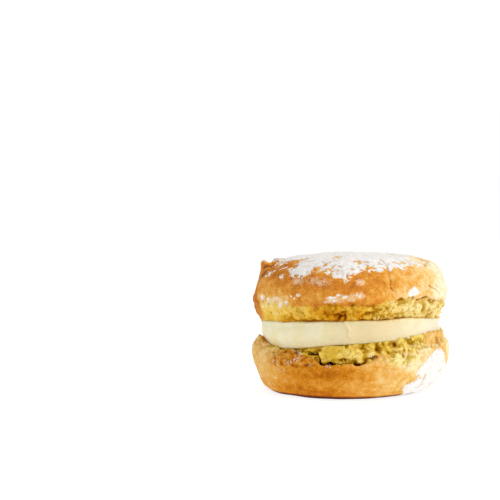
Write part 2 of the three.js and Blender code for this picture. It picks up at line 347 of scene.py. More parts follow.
def crust_end(which, azimuth):
    """Height where a biscuit's crust ends and its bare crumb begins."""
    a = np.radians(azimuth)
    radius, to_right, deep = RIM_EDGE[which]
    radius = radius + to_right * np.sin(a)
    x, y = radius * np.sin(a), -radius * np.cos(a) * deep
    at, tall = np.array(CRUMB[which]).T
    k = np.clip(np.searchsorted(at, azimuth, side="right") - 1, 0, len(at) - 2)
    t = (azimuth - at[k]) / (at[k + 1] - at[k])
    band = tall[k] + (tall[k + 1] - tall[k]) * t * t * (3 - 2 * t)
    seed = RAGGED_SEED[which]
    band = band + 0.2 * np.sin(9 * a + seed) + 0.2 * np.sin(23 * a + 2 * seed)
    band = np.maximum(band + 0.15 * np.sin(38 * a), 0.4)
    return cream_top(x, y) + band if which == "upper" else cream_bottom(x, y) - band


# ---- Noise and masks over points ----


def perlin(points, size, octaves=1, seed=0):
    """Smooth noise from about -1 to 1 with waves of about `size`."""
    shift = Vector((17.3 * seed, 5.1 * seed, 9.7 * seed))
    return np.array([noise.fractal(Vector(p) / size + shift, 1, 2, octaves) for p in points])


def nearest(points, size, seed=0):
    """Distances to the two nearest of scattered points about `size` apart, in units of size."""
    shift = Vector((3.7 * seed, 11.9 * seed, 6.3 * seed))
    found = [noise.voronoi(Vector(p) / size + shift)[0] for p in points]
    return np.array([d[:2] for d in found]).T


def bent(points, size, seed=0):
    """Points shifted about by noise, so that a pattern over them loses its regular look."""
    shift = Vector((2.3 * seed, 7.9 * seed, 4.1 * seed))
    moves = [noise.noise_vector(Vector(p) / size + shift) for p in points]
    return points + 0.4 * size * np.array(moves)


def rise(value, low, high):
    """0 below low, 1 above high, smooth between."""
    t = np.clip((value - low) / (high - low), 0, 1)
    return t * t * (3 - 2 * t)


def bell(offset, reach):
    """1 at no offset, falling towards 0 past `reach`."""
    return np.exp(-((offset / reach) ** 2))


def turn(a, b):
    """Signed degrees from b to a."""
    return (a - b + 180) % 360 - 180


RIM_ARC = 0.4  # millimetres of rim in a degree


class Points:
    """Points of a mesh in millimetres, with their azimuth, height and outward normals."""

    def __init__(self, mesh):
        count = len(mesh.vertices)
        self.at = np.empty(count * 3)
        mesh.vertices.foreach_get("co", self.at)
        self.at = self.at.reshape(-1, 3) / MM
        normals = np.empty(count * 3)
        mesh.vertex_normals.foreach_get("vector", normals)
        self.normals = normals.reshape(-1, 3)
        self.azimuth = np.degrees(np.arctan2(self.at[:, 0], -self.at[:, 1])) % 360
        self.height = self.at[:, 2]
        self.radius = np.hypot(self.at[:, 0], self.at[:, 1])
        # Makes the edges of places on the rim wavy: millimetres along it and up.
        self.stray = 0.3 * np.stack([perlin(self.at, 1.6, 2, 101), perlin(self.at, 1.6, 2, 102)])

    def offset(self, azimuth, height):
        """Millimetres along the rim and up from a place on it."""
        along = turn(self.azimuth, azimuth) * RIM_ARC
        return np.stack([along, self.height - height])

    def near(self, azimuth, height, wide, tall):
        """1 at a place on the rim, falling towards 0 past `wide` and `tall` millimetres."""
        along, up = self.offset(azimuth, height) + self.stray
        return bell(along, wide) * bell(up, tall)

    def peak(self, azimuth, height, wide, tall):
        """1 at a place on the rim, falling straight to 0 at `wide` and `tall` millimetres."""
        along, up = self.offset(azimuth, height)
        return np.clip(1 - np.hypot(along / wide, up / tall), 0, 1)

    def patch(self, azimuth, height, wide, tall):
        """1 inside a rounded patch of half width `wide` and half height `tall`, 0 outside."""
        along, up = self.offset(azimuth, height) + self.stray
        return rise(1 - np.abs(along / wide) ** 3 - np.abs(up / tall) ** 3, -0.2, 0.4)

    def line(self, start, end, wide):
        """1 along the line between two places on the rim, each an azimuth and a height."""
        along, up = self.offset(*start) + self.stray
        to = np.array([turn(end[0], start[0]) * RIM_ARC, end[1] - start[1]])
        share = np.clip((along * to[0] + up * to[1]) / (to @ to), 0, 1)
        return bell(np.hypot(along - share * to[0], up - share * to[1]), wide)

    def around(self, azimuth, wide):
        """1 at an azimuth, falling towards 0 past `wide` degrees."""
        return bell(turn(self.azimuth, azimuth), wide)


def spots(p, places):
    """Sum of soft spots: azimuth, height, half width, half height and strength of each."""
    return sum(strength * p.near(*place) for *place, strength in places)


def strokes(p, lines):
    """Sum of soft lines: two places, half the width and the strength of each."""
    return sum(strength * p.line(*line) for *line, strength in lines)


# ---- Meshes ----

BISCUIT_SPACING, CREAM_SPACING = 0.22, 0.28  # millimetres between the points of a surface


def refined(node, name, spacing):
    """A new object with a CAD node's form, rounded and meshed evenly, `spacing` mm apart."""
    form = bmesh.new()
    form.from_mesh(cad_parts[node].data)
    bmesh.ops.remove_doubles(form, verts=form.verts, dist=1e-7)
    mesh = bpy.data.meshes.new(name)
    form.to_mesh(mesh)
    form.free()
    mesh.materials.clear()
    piece = bpy.data.objects.new(name, mesh)
    bpy.context.scene.collection.objects.link(piece)
    rounding = piece.modifiers.new("rounding", "SUBSURF")
    rounding.levels = rounding.render_levels = 2
    remesh = piece.modifiers.new("remesh", "REMESH")
    remesh.mode, remesh.voxel_size, remesh.use_smooth_shade = "VOXEL", spacing * MM, True
    apply_modifiers(piece)
    return piece


def apply_modifiers(piece):
    """Replaces a piece's mesh by what its modifiers make of it."""
    depsgraph = bpy.context.evaluated_depsgraph_get()
    made = bpy.data.meshes.new_from_object(piece.evaluated_get(depsgraph))
    piece.modifiers.clear()
    piece.data = made
    made.name = piece.name
    made.shade_smooth()


def set_points(piece, at):
    """Moves a piece's points to places in millimetres."""
    piece.data.vertices.foreach_set("co", (at * MM).ravel())
    piece.data.update()


def set_attribute(piece, name, values):
    """Gives a piece's points values from 0 to 1 for its material."""
    attribute = piece.data.attributes.new(name, "FLOAT", "POINT")
    attribute.data.foreach_set("value", np.clip(values, 0, 1).astype(np.float32))


def dress(piece, material):
    """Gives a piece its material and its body."""
    piece.data.materials.clear()
    piece.data.materials.append(material)
    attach(piece, "root")


# ---- Biscuits ----

# Lumps of crumb: their size, how high they stand, and how dark the painted shade in the gaps between
# them is.
CRUMB_LAYERS = [(2.2, 0.5, 1), (1.1, 0.28, 0.75), (0.6, 0.12, 0.5)]
PUFFED = (70, 24.8, 7, 3)  # lumpy pale crust: azimuth, height, half width, half height
LEFT_BULGE = (276, 20, 5.6, 3.4)  # crust that covers the crumb, behind the crease on the left
FLAP = (266, 30.6, 0.8, 1.3)  # tip of the crust that stands up on the left
FLAP_PULL = np.array([-0.5, 0, 1.1])
SHADE_PAINTED_BULGE = (277.5, 20.8, 5.2, 3.2)  # painted shade on that bulge
PALE_CRUMB = (302, 19.8, 7, 2)  # paler crumb beside it
GRANULAR = (321, 10.2, 8.2, 2.7)  # grainy, toasted crust at the front left of the lower biscuit
TOASTED_RIM = (70, 13.4, 7.5, 1.9)  # grainy rim on the right, beside the cream
BLOCK_FACE = (350.5, 11, 3.4, 2)  # smoother face of the block of crumb in front
LOW_CRUMB = (31, 9.6, 6, 1.9)  # crumb that reaches further down than the crust's end
WAVY_CRUST = (285, 9, 6, 3)  # crust with finer waves, on the left
SHALLOW = (10, 11.3, 1.3, 0.9)  # crumb with less painted shade in its hollows, right of the block
MEET = 0.02  # millimetres that a biscuit's flat side reaches into the cream


def crumb_relief(at, seed):
    """Height of broken crumb in millimetres, and the painted shade in its hollows, 0 to 1."""
    uneven = bent(at, 1.7, seed)
    height = 0.16 * perlin(at, 3, 2, seed + 5) + 0.06 * perlin(at, 0.5, 2, seed + 6)
    deep = np.zeros(len(at))
    for layer, (size, depth, shade) in enumerate(CRUMB_LAYERS):
        first, second = nearest(uneven, size, seed + layer)
        parted = rise(perlin(at, 1.3 * size, 2, seed + 7 + layer), -0.2, 0.5)
        gap = (1 - rise(second - first, 0.02, 0.42)) * parted
        height += depth * (0.35 - 0.5 * first - 0.8 * gap)
        deep = np.maximum(deep, shade * gap)
    return height, deep


def crust_relief(p):
    """Height of the smooth crust's gentle waves in millimetres."""
    return 0.14 * perlin(p.at, 6, 2, 21) + 0.07 * perlin(p.at, 1.6, 2, 22)


def lobes(p):
    """Puffed lumps of pale crust on the right of the upper biscuit, -0.2 to 0.6."""
    return np.clip(0.62 - nearest(bent(p.at, 2.5, 64), 3, 64)[0], -0.2, 1) * p.near(*PUFFED)


# Cracks and creases: two places, half the width and the depth, which also darkens them with painted
# shade.
UPPER_CRACKS = [
    ((26, 30.4), (25.6, 27.6), 0.16, 0.36),  # the upright crack in front
    ((25.6, 27.6), (25, 25.9), 0.17, 0.42),
    ((25, 25.9), (27.2, 24.8), 0.14, 0.3),
    ((328.6, 24.2), (330, 21.8), 0.15, 0.3),
    ((330, 22.4), (335, 21.9), 0.13, 0.2),
    ((46, 23.7), (53, 23.2), 0.3, 0.15),  # the fissure on the right
    ((53, 23.2), (66, 22.2), 0.35, 0.2),
    ((66, 22.2), (88, 21.3), 0.35, 0.14),
    ((54, 26), (63, 23.9), 0.35, 0.34),  # lobes above it
    ((49, 25.6), (51, 23.8), 0.2, 0.2),
    ((50, 27), (62, 26), 0.7, 0.15),
    ((62, 26), (76, 23.4), 0.6, 0.2),
    ((92, 31.4), (65, 30.6), 0.18, 0.3),  # creases high on the right
    ((76, 31.6), (58, 29.9), 0.15, 0.25),
    ((84, 31), (78, 28.4), 0.3, 0.2),
    ((66, 30.8), (62, 29), 0.14, 0.2),
    ((270, 30.2), (280, 28.9), 0.3, 0.4),  # the crease on the left, from the flap down
    ((280, 28.9), (287, 27), 0.25, 0.3),
    ((288.5, 26.5), (286.4, 23.6), 0.3, 0.3),
    ((286.4, 23.6), (287, 21), 0.3, 0.3),
    ((287, 21), (284.6, 18.5), 0.3, 0.35),
]
# Pits in the crumb, dark with painted shade: azimuth, height, half width, half height.
UPPER_PITS = [
    (351.6, 21.8, 0.4, 0.2), (354.4, 22.1, 0.3, 0.15), (345.3, 20.5, 0.2, 0.15),
    (1.3, 21.9, 0.4, 0.25), (19.2, 21, 0.25, 0.3), (26.3, 21.5, 0.3, 0.3), (25.4, 20.7, 0.25, 0.3),
    (21.8, 21.6, 0.5, 0.15), (33, 22.6, 1.6, 0.3), (341.5, 18.6, 0.5, 0.2),
    (313.2, 21.6, 0.25, 0.15), (328.5, 21, 0.2, 0.3),
]
# Swellings, and hollows below 0: azimuth, height, half width, half height and millimetres.
UPPER_SWELLINGS = [
    (268, 27.2, 3, 1.2, 0.15), (268, 24.2, 3, 1.2, -0.8),
    (270, 28.9, 2, 1.1, 0.5), (272, 19.3, 3, 1.8, 0.5),
]
# Browner places, and paler ones below 0: azimuth, height, half width, half height and how much. By the
# flap, the paler place at its tip is painted light and the browner place right of it painted shade.
UPPER_TOAST_AND_PAINTED_LIGHT = [
    (338, 27.4, 8, 2, 0.2), (300, 28.8, 5, 1.5, 0.26), (304, 31, 5, 1, 0.2), (8, 26.4, 6, 2.4, 0.2),
    (348, 20.8, 6, 1.8, 0.36), (268, 29.6, 3, 1.4, 0.2), (269.6, 29.6, 0.6, 0.8, 0.5),
    (266.2, 30.2, 0.5, 1, -0.3), (34, 24.2, 3.4, 1.5, -0.2), (349, 18.8, 3, 1.2, 0.2),
    (5.5, 19.6, 1.8, 2.4, 0.25), (17, 19.8, 1.6, 1.4, -0.18), (276, 18, 2.5, 2, 0.12),
    (301, 25.8, 3.4, 1.5, -0.15), (280, 28.2, 2.5, 1.2, 0.6), (64, 28.6, 3, 1.8, 0.15),
    (64, 25.8, 2.4, 0.9, -0.15), (30, 28.8, 2.5, 1, -0.08), (68, 25.5, 3, 1.5, -0.15),
    (306, 22.6, 8, 1.2, -0.22), (48, 19.8, 9, 2, -0.35), (64, 25, 3.4, 1.2, -0.25),
    (302, 25.4, 7, 1.6, 0.06), (63, 18.8, 2, 0.9, -0.15), (18, 26, 5, 3, -0.08),
    (325, 27.5, 6, 2, 0.08), (310, 19, 12, 2.2, 0.09),
]


def shoulder_dip(p):
    """Millimetres that the top dips all round, more on its left and beside the flap."""
    x, y = p.at[:, 0], p.at[:, 1]
    on_left = 0.4 * bell(x + 12.5, 5.5) * rise(p.height, 29.5, 30.5)
    beside_flap = 0.55 * bell(x + 19.2, 0.8) * bell(y, 4) * rise(p.height, 28, 29)
    return 0.15 * rise(p.height, 30, 31.5) + on_left + beside_flap


def upper_form(p):
    """Lift in millimetres, share of bare crumb, carving, and painted shade in crevices and just above
    the cream on the upper biscuit.
    """
    past = crust_end("upper", p.azimuth) - p.height  # millimetres past the crust's end
    soft = 0.25 + 0.9 * p.around(308, 32) + 0.5 * p.around(352, 18)  # how gradual that end is
    crumb = rise(past + 0.45 * perlin(p.at, 0.9, 2, 5), -soft, soft)
    crumb *= 1 - np.clip(1.6 * p.near(*LEFT_BULGE), 0, 0.92)
    relief, deep = crumb_relief(p.at, 3)
    rugged = 1 - 0.72 * p.around(300, 28) - 0.1 * p.around(55, 32)
    fill = 0.25 + 0.4 * p.around(310, 34)
    gaps = rise(perlin(p.at, 1.7, 2, 61), 0.0, 0.35) * (0.15 + 0.5 * p.around(45, 32))
    carve = 0.7 * bell(past - 0.1, 0.3) * gaps + strokes(p, UPPER_CRACKS)
    swell = 1.1 * lobes(p) + spots(p, UPPER_SWELLINGS) - shoulder_dip(p)
    broken = rugged * relief + fill * bell(past - 0.8, 1.7)
    lift = crumb * broken + (1 - crumb) * crust_relief(p)
    above_cream = p.height - cream_top(p.at[:, 0], p.at[:, 1])
    # Painted shadow along the crumb's lower edge, just above the cream.
    under = bell(above_cream - 0.15, 0.3) * (0.55 + 0.9 * perlin(p.at, 1.3, 2, 63)) * p.around(352, 38)
    for pit in UPPER_PITS:
        deep = np.maximum(deep, p.near(*pit))
    return lift - carve + swell, crumb, carve, np.maximum(crumb * rugged**2 * deep, under)


def upper_browning_and_painted_light(p):
    """How browned the upper crust and crumb are, 0 pale to 1 dark, with painted light and shade on the
    flap, the bulge on the left and the puffed lumps.
    """
    brown_and_painted_light = 0.55 + 0.12 * perlin(p.at, 5, 3, 31) + 0.1 * perlin(p.at, 1.4, 2, 32)
    # The puffed lumps are paler on their tops and browner between them: painted light and painted shade.
    brown_and_painted_light += spots(p, UPPER_TOAST_AND_PAINTED_LIGHT) - 0.09 * p.patch(*PALE_CRUMB) - 0.5 * lobes(p)
    # Painted shade on the bulge behind the crease on the left.
    brown_and_painted_light += 0.3 * np.clip(1.6 * p.near(*SHADE_PAINTED_BULGE), 0, 1)
    brown_and_painted_light -= 0.5 * p.around(76, 30) * rise(p.height, 17, 22)
    aside = rise(np.abs(turn(p.azimuth, 0)), 40, 80)  # 0 in front, 1 at the sides and the back
    return brown_and_painted_light - 0.14 * aside * rise(22.5 - p.height, 0, 2)


# The same tables for the lower biscuit.
LOWER_CRACKS = [
    ((334, 10.9), (340.6, 10.8), 0.35, 0.75),  # left of the block
    ((340.6, 10.9), (343.2, 9), 0.3, 1.1),
    ((343.2, 9), (345.4, 8.6), 0.22, 1),
    ((345.4, 8.6), (348.6, 8.9), 0.2, 1),  # under the block
    ((348.6, 8.9), (351.8, 8.6), 0.2, 0.9),
    ((352, 8.8), (0, 8.9), 0.14, 0.45),
    ((3, 8.9), (6, 8.8), 0.25, 0.6),
    ((7, 9.1), (10.8, 9.9), 0.2, 0.5),
    ((10.8, 9.9), (15.5, 10.4), 0.2, 0.45),
    ((310, 12), (322, 11.7), 0.16, 0.5),  # in the granular crust
    ((324, 11.5), (330, 11.6), 0.16, 0.4),
    ((315, 9.4), (322, 9), 0.14, 0.25),
    ((333, 8.2), (340, 8.4), 0.16, 0.3),
    ((262, 12), (296, 12.2), 0.16, 0.3),  # on the left rim
    ((48, 4), (46.5, 5.4), 0.16, 0.2),  # at the sugar on the right
    ((60, 5.2), (66, 6.6), 0.14, 0.15),
]
# Pits, carved in and dark with painted shade.
LOWER_PITS = [
    (28.5, 12.8, 0.6, 0.45), (23.1, 11.6, 0.5, 0.4), (16.8, 12.3, 0.5, 0.4), (33.4, 10.4, 0.2, 0.6),
    (33.9, 11.4, 0.25, 0.4), (42.2, 10.9, 0.25, 0.3), (50.6, 12.1, 0.6, 0.3), (5.3, 8.9, 0.4, 0.3),
    (13.3, 10.2, 0.4, 0.35), (38, 13.8, 0.3, 0.2), (308, 10.2, 0.3, 0.2), (324, 10, 0.25, 0.2),
    (331, 9.2, 0.3, 0.2), (356, 9.8, 1.2, 0.3),
]
LOWER_SWELLINGS = [(270, 5, 9, 2, 0.35), (2, 10.8, 4, 0.8, 0.25), (40, 12.9, 1.6, 0.7, 0.35)]
# Browner places, and paler ones below 0; the browner place at azimuth 351, under the block of crumb, is
# painted shade.
LOWER_TOAST_AND_PAINTED_SHADE = [
    (349, 6.2, 10, 2.4, 0.35), (328, 5, 8, 3, 0.1), (300, 5, 10, 3, -0.08), (30, 4, 8, 3, -0.1),
    (48, 8.5, 9, 3.5, -0.3), (292, 8, 6, 4, -0.08), (275, 10, 5, 4, -0.06), (82, 9, 4, 5, -0.3),
    (14, 3, 5, 2, -0.08), (45, 12.3, 1.6, 0.7, -0.25), (32, 10, 2.4, 1, -0.15),
    (36, 9, 5, 2, -0.3), (30, 10, 3, 1.5, -0.15), (50, 11.8, 2.5, 1, -0.35),
    (329, 10.8, 2.5, 1.2, 0.2), (36.7, 11.3, 1.2, 0.8, 0.15), (54.3, 12.7, 1, 0.6, 0.12),
    (77, 13.8, 1.5, 0.8, 0.15), (45, 12.3, 1.4, 0.7, -0.15), (45, 9.2, 1, 0.8, 0.12),
    (22, 5, 6, 2, -0.12), (304, 10.5, 3.4, 2.5, -0.28), (350.5, 11.4, 1.6, 1.6, 0.2),
    (351, 9.4, 1.2, 0.5, 0.3), (40, 5, 5, 2.5, 0.1), (10.5, 11.2, 1.5, 1, -0.12),
    (308, 10.8, 3, 2, -0.08),
]


def lower_form(p):
    """The same as upper_form, on the lower biscuit."""
    past = p.height - crust_end("lower", p.azimuth)
    soft = 0.25 + 1.3 * p.around(38, 13)
    crumb = rise(past + 0.45 * perlin(p.at, 0.9, 2, 5) + 0.5 * p.around(32, 13), -soft, soft)
    crumb = np.maximum(crumb, 0.8 * p.near(*LOW_CRUMB)) * (1 - 0.95 * p.around(276, 22))
    toasted_rim = p.patch(*TOASTED_RIM)
    grainy = np.maximum(p.patch(*GRANULAR), toasted_rim)
    rough = np.maximum(crumb, 0.9 * grainy)
    relief, deep = crumb_relief(p.at, 11)
    calm = 1 - 0.65 * p.patch(*BLOCK_FACE)
    relief, deep = calm * relief, calm * deep
    gaps = rise(perlin(p.at, 1.7, 2, 62), 0.0, 0.35)
    carve = 0.25 * bell(past - 0.1, 0.3) * gaps + strokes(p, LOWER_CRACKS)
    swell = spots(p, LOWER_SWELLINGS) + 0.45 * bell(past - 0.2, 0.7) * p.around(354, 12)
    for place in LOWER_PITS:
        pit = p.near(*place)
        carve += 0.45 * pit
        deep = np.maximum(deep, pit)
    crust = crust_relief(p) + 0.08 * p.near(*WAVY_CRUST) * perlin(p.at, 1.4, 2, 23)
    lift = rough * relief + (1 - rough) * crust - carve + swell
    crumb *= 1 - 0.9 * toasted_rim
    deep *= (1 - 0.55 * grainy) * (1 - 0.6 * p.near(*SHALLOW))
    return lift * rise(p.height, 0.1, 1.2), crumb, carve, rough * deep


def lower_browning_and_painted_light(p):
    """How browned the lower crust and crumb are, 0 pale to 1 dark, with painted shade under the block of
    crumb in front.
    """
    brown_and_painted_light = 0.5 + 0.12 * perlin(p.at, 5, 3, 41) + 0.1 * perlin(p.at, 1.4, 2, 42)
    brown_and_painted_light += spots(p, LOWER_TOAST_AND_PAINTED_SHADE) - 0.14 * p.patch(*TOASTED_RIM)
    brown_and_painted_light += (0.18 + 0.4 * perlin(p.at, 0.9, 2, 43)) * p.patch(*GRANULAR)
    brown_and_painted_light += rise(4.6 - p.height, 0, 2.6) * (0.04 + 0.32 * p.around(334, 30))
    aside = rise(np.abs(turn(p.azimuth, 0)), 60, 90)
    return brown_and_painted_light - 0.14 * aside * rise(p.height, 8, 10)


def settle_upper(p, at):
    """Pulls the flap up and keeps the flat side on the cream, along its uneven upper edge."""
    at += FLAP_PULL * p.peak(*FLAP)[:, None]
    lifted = wave(p, p.height - cream_top(p.at[:, 0], p.at[:, 1]))
    at[:, 2] = np.maximum(at[:, 2], cream_top(at[:, 0], at[:, 1]) - MEET) + lifted


def settle_lower(p, at):
    """Keeps it above the floor and under the cream, but for the rim that laps over the cream's side."""
    curl = 1.3 * p.around(272, 14) * rise(p.radius, 20.8, 22)
    lap = (0.6 * p.around(58, 16) + 0.45 * p.around(32, 13)) * rise(p.radius, 20.4, 21.6)
    at[:, 2] += lap * rise(p.height, 12.6, 14.2)
    at[:, 2] = np.clip(at[:, 2], 0, cream_bottom(at[:, 0], at[:, 1]) + MEET + curl + lap)


def make_biscuit(which, form, browning_and_painted_light):
    """Builds a biscuit from its CAD node; returns the piece and the points of its surface."""
    piece = refined(which + "_biscuit", which + "_biscuit_surface", BISCUIT_SPACING)
    p = Points(piece.data)
    flat = p.normals[:, 2] * (-1 if which == "upper" else 1) > 0.8
    shown = ~(flat & (p.radius < 20))
    lift, crumb, carve, deep = form(p)
    at = p.at + p.normals * (lift * shown)[:, None]
    if which == "upper":
        settle_upper(p, at)
    else:
        settle_lower(p, at)
    set_points(piece, at)
    set_attribute(piece, "crumb", crumb)
    set_attribute(piece, "painted_hollow_shade", deep)
    # Painted shade in cracks, pits and the gaps by the crust's end, and at the lower biscuit's foot.
    dark = rise(carve, 0.1, 0.7)
    if which == "lower":
        dark = np.maximum(dark, 1 - rise(p.height, 0.45, 1.25))  # painted shade at the foot, where it meets the floor
    set_attribute(piece, "painted_crack_and_foot_shade", dark)
    painted_relief_light = crumb * np.clip(lift, -0.35, 0.25)
    set_attribute(piece, "brown_and_painted_light", browning_and_painted_light(p) - 0.6 * painted_relief_light)  # painted highlight on the crumb's tops, painted shade in its low places
    return piece, Points(piece.data)


def biscuit_material(name, crust, crumb):
    """Browned crust over bare crumb, by attributes for bare crumb, browning with painted light and
    shade, painted shade in cracks and hollows, and sugar dust.
    """
    build = Shader(name)
    brown_and_painted_light = build.attribute("brown_and_painted_light")
    mottled = build.math("ADD", brown_and_painted_light, build.stray(0.3, 1.1, 4))
    speckled = build.math("ADD", mottled, build.stray(0.45, 0.3, 3, 0.7, 0.02))
    crust_colour = build.ramp(speckled, crust)
    crumb_tone = build.math("ADD", brown_and_painted_light, build.stray(0.3, 0.8, 4))
    crumb_colour = build.ramp(build.math("SUBTRACT", crumb_tone, 0.15), crumb)
    edge = build.math("ADD", build.attribute("crumb"), build.stray(0.5, 0.5))
    bare = build.step(edge, 0.35, 0.65)
    colour = build.mix(bare, crust_colour, crumb_colour)
    # Painted shade: in cracks and at the foot, then in hollows.
    for attribute, shades in (("painted_crack_and_foot_shade", PAINTED_CRACK_SHADES), ("painted_hollow_shade", PAINTED_HOLLOW_SHADES)):
        shade = build.ramp(build.attribute(attribute), shades)
        colour = build.mix(1.0, colour, shade, "MULTIPLY")
    film = build.math("ADD", build.attribute("dust"), build.stray(0.4, 0.45, 4, 0.7))
    for low, high, most, film_colour in SUGAR_FILMS:
        share = build.math("MULTIPLY", build.step(film, low, high), most)
        colour = build.mix(share, colour, film_colour)
    roughness = build.math("MULTIPLY_ADD", bare, 0.2, build.uneven(0.55, 0.8, 0.7))
    build.bump([(build.grain(0.9, 4, 0.6), 0.35, 0.25), (build.grain(0.3, 3, 0.6), 0.4, 0.12)])
    build.surface(colour, roughness, specular=0.06, soft=0.25, radius=(1.2, 0.6, 0.2))
    return build.material


def bits_material(name, crumb):
    """Loose crumbs, in the middle tones of the crumb that they fell from."""
    build = Shader(name)
    colour = build.ramp(build.grain(1.6, 4), [(0.25 + 0.5 * at, shade) for at, shade in crumb])
    build.bump([(build.grain(0.3, 3), 0.4, 0.1)])
    build.surface(colour, build.uneven(0.7, 0.9, 0.5), specular=0.1, soft=0.25)
    return build.material


# ---- Cream ----

# Ridges, and creases below 0: two places, half the width and millimetres.
CREAM_CREASES = [
    ((357, 18), (359.4, 16.6), 0.24, 0.5), ((359.4, 16.6), (359.6, 14.9), 0.2, 0.35),
    ((48, 17.6), (43.6, 16), 0.3, -0.3), ((20, 17), (23, 16), 0.3, -0.15),
]
# Lumps: azimuth, height, half width, half height and millimetres.
CREAM_LUMPS = [(10, 16.8, 2, 0.5, 0.12), (40, 16.6, 1.2, 0.5, 0.15)]


def cream_form(p, under_top, over_bottom):
    """Moved points of the cream, from how far they lie under its top and over its bottom."""
    side = rise(p.radius, 19.4, 20.4) * (1 - rise(np.abs(p.normals[:, 2]), 0.75, 0.98))
    lift = 0.2 * perlin(p.at, 5, 2, 51) + 0.06 * perlin(p.at, 1.6, 2, 52)
    lift += strokes(p, CREAM_CREASES) + spots(p, CREAM_LUMPS)
    at = p.at + p.normals * (side * lift)[:, None]
    squeezed = rise(-under_top, -1.1, -0.1) * (0.35 * p.around(38, 26) + 0.2 * p.around(320, 20))
    squeezed *= 0.8 + 0.8 * perlin(p.at, 2.6, 2, 53)
    squeezed += 0.7 * bell(under_top, 0.6)
    squeezed += 0.8 * bell(over_bottom, 0.6) * (1 - 0.8 * p.around(280, 26))
    outward = np.stack([p.at[:, 0] / p.radius, p.at[:, 1] / p.radius, 0 * p.radius], 1)
    at += outward * (rise(p.radius, 19.6, 20.6) * squeezed)[:, None]
    reach = 0.42 * bell(under_top, 0.6) - 0.42 * bell(over_bottom, 0.6)
    at[:, 2] += reach * rise(p.radius, 18, 19.5) + wave(p, under_top)
    return at


def cream_material():
    """Butter cream, with painted shade in front, painted light on the right and painted shade along its
    edges.
    """
    build = Shader("butter_cream")
    colour = build.ramp(build.grain(3.5, 3), CREAM_TONES)
    # Painted shade in front, then painted light on the right.
    colour = build.mix(build.attribute("painted_cream_shade"), colour, CREAM_PAINTED_SHADE)
    colour = build.mix(build.math("MULTIPLY", build.attribute("painted_cream_glare"), 0.7), colour, CREAM_PAINTED_GLARE)
    # Painted shade along the edges, in patches.
    painted_edge_shade = build.math("MULTIPLY", build.attribute("edge"), build.step(build.grain(0.8), 0.3, 0.6))
    colour = build.mix(build.math("MULTIPLY", painted_edge_shade, 0.75), colour, CREAM_PAINTED_EDGE_SHADE)
    build.bump([(build.grain(2.2, 3), 0.3, 0.3), (build.grain(0.5, 3), 0.15, 0.1)])
    roughness = build.uneven(0.3, 0.6, 1.5)
    build.surface(colour, roughness, specular=0.3, soft=0.5, radius=(2.5, 1.8, 1.0))
    return build.material


def make_cream():
    """The disc of cream, squeezed out a little where it meets the biscuits."""
    piece = refined("cream_filling", "cream_filling_surface", CREAM_SPACING)
    p = Points(piece.data)
    under_top = cream_top(p.at[:, 0], p.at[:, 1]) - p.height
    over_bottom = p.height - cream_bottom(p.at[:, 0], p.at[:, 1])
    set_points(piece, cream_form(p, under_top, over_bottom))
    # Painted shade along the cream's edges beside the crumb.
    set_attribute(piece, "edge", bell(under_top, 0.35) + 0.8 * bell(over_bottom, 0.6))
    # Painted shade in front.
    set_attribute(piece, "painted_cream_shade", p.around(16, 26))
    # Painted light on the right.
    set_attribute(piece, "painted_cream_glare", p.around(80, 40))
    dress(piece, cream_material())
    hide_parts("cream_filling")


# ---- Sugar ----

# How far down the sugar on the upper biscuit reaches: azimuth, height.
SUGAR_EDGE = [
    (0, 28.4), (3, 28.6), (6.5, 29.8), (16, 29.9), (19.5, 29.2), (23, 30.3), (25.5, 30.3),
    (27.4, 29.4), (30.6, 30.3), (39.5, 29.6), (43, 30.3), (50, 30.6), (58, 29.9), (62, 30.6),
    (70, 31.4), (96, 31.4), (108, 29.6), (128, 28.8), (152, 30), (180, 30.3), (208, 29), (236, 30),
    (262, 30.4), (285, 30.3), (300, 29.5), (312, 29.5), (319, 28.9), (323, 28.2), (328, 28.1),
    (331, 28.6), (334, 29.4), (340, 29.8), (346, 29), (351, 28.6), (354.5, 28.3), (356.5, 27.6),
    (358.5, 28.1), (360, 28.4),
]
# How much of the crust the sugar hides there: azimuth, share.
SUGAR_DENSITY = [
    (0, 1), (28, 0.95), (46, 0.85), (64, 0.6), (76, 0.35), (90, 0.35), (110, 0.9), (180, 0.8),
    (240, 0.8), (270, 0.4), (300, 0.4), (314, 0.6), (320, 1), (360, 1),
]
# Streaks where the crust shows through it: two places and half the width.
SUGAR_GAPS = [
    ((296, 31), (316, 31.8), 0.3), ((300, 30.2), (312, 31), 0.3), ((311, 30.4), (318, 30.5), 0.25),
    ((309, 30.9), (328, 31.6), 0.14), ((336, 30.3), (339, 30.4), 0.25),
    ((341, 31), (343, 31.1), 0.25), ((344, 31.5), (346.5, 31.8), 0.22),
    ((347.5, 30.2), (349.5, 30.8), 0.22), ((352, 30.6), (354, 30.4), 0.22),
    ((2.5, 31.7), (8, 31.4), 0.26), ((10, 31.7), (13.4, 31.6), 0.2), ((0, 30.3), (2, 30.2), 0.3),
    ((11, 30.4), (15.4, 30.3), 0.22), ((24.6, 32), (26.5, 31), 0.12),
    ((20, 31.3), (23, 30.9), 0.12), ((84, 32.5), (104, 32.6), 0.18),
    ((340, 32.3), (350, 32.5), 0.3), ((60, 31.4), (84, 31.8), 0.2), ((34, 31.4), (44, 31), 0.1),
    ((110, 31), (130, 31), 0.3), ((190, 31.2), (215, 31), 0.3), ((235, 30.9), (246, 31.5), 0.3),
]
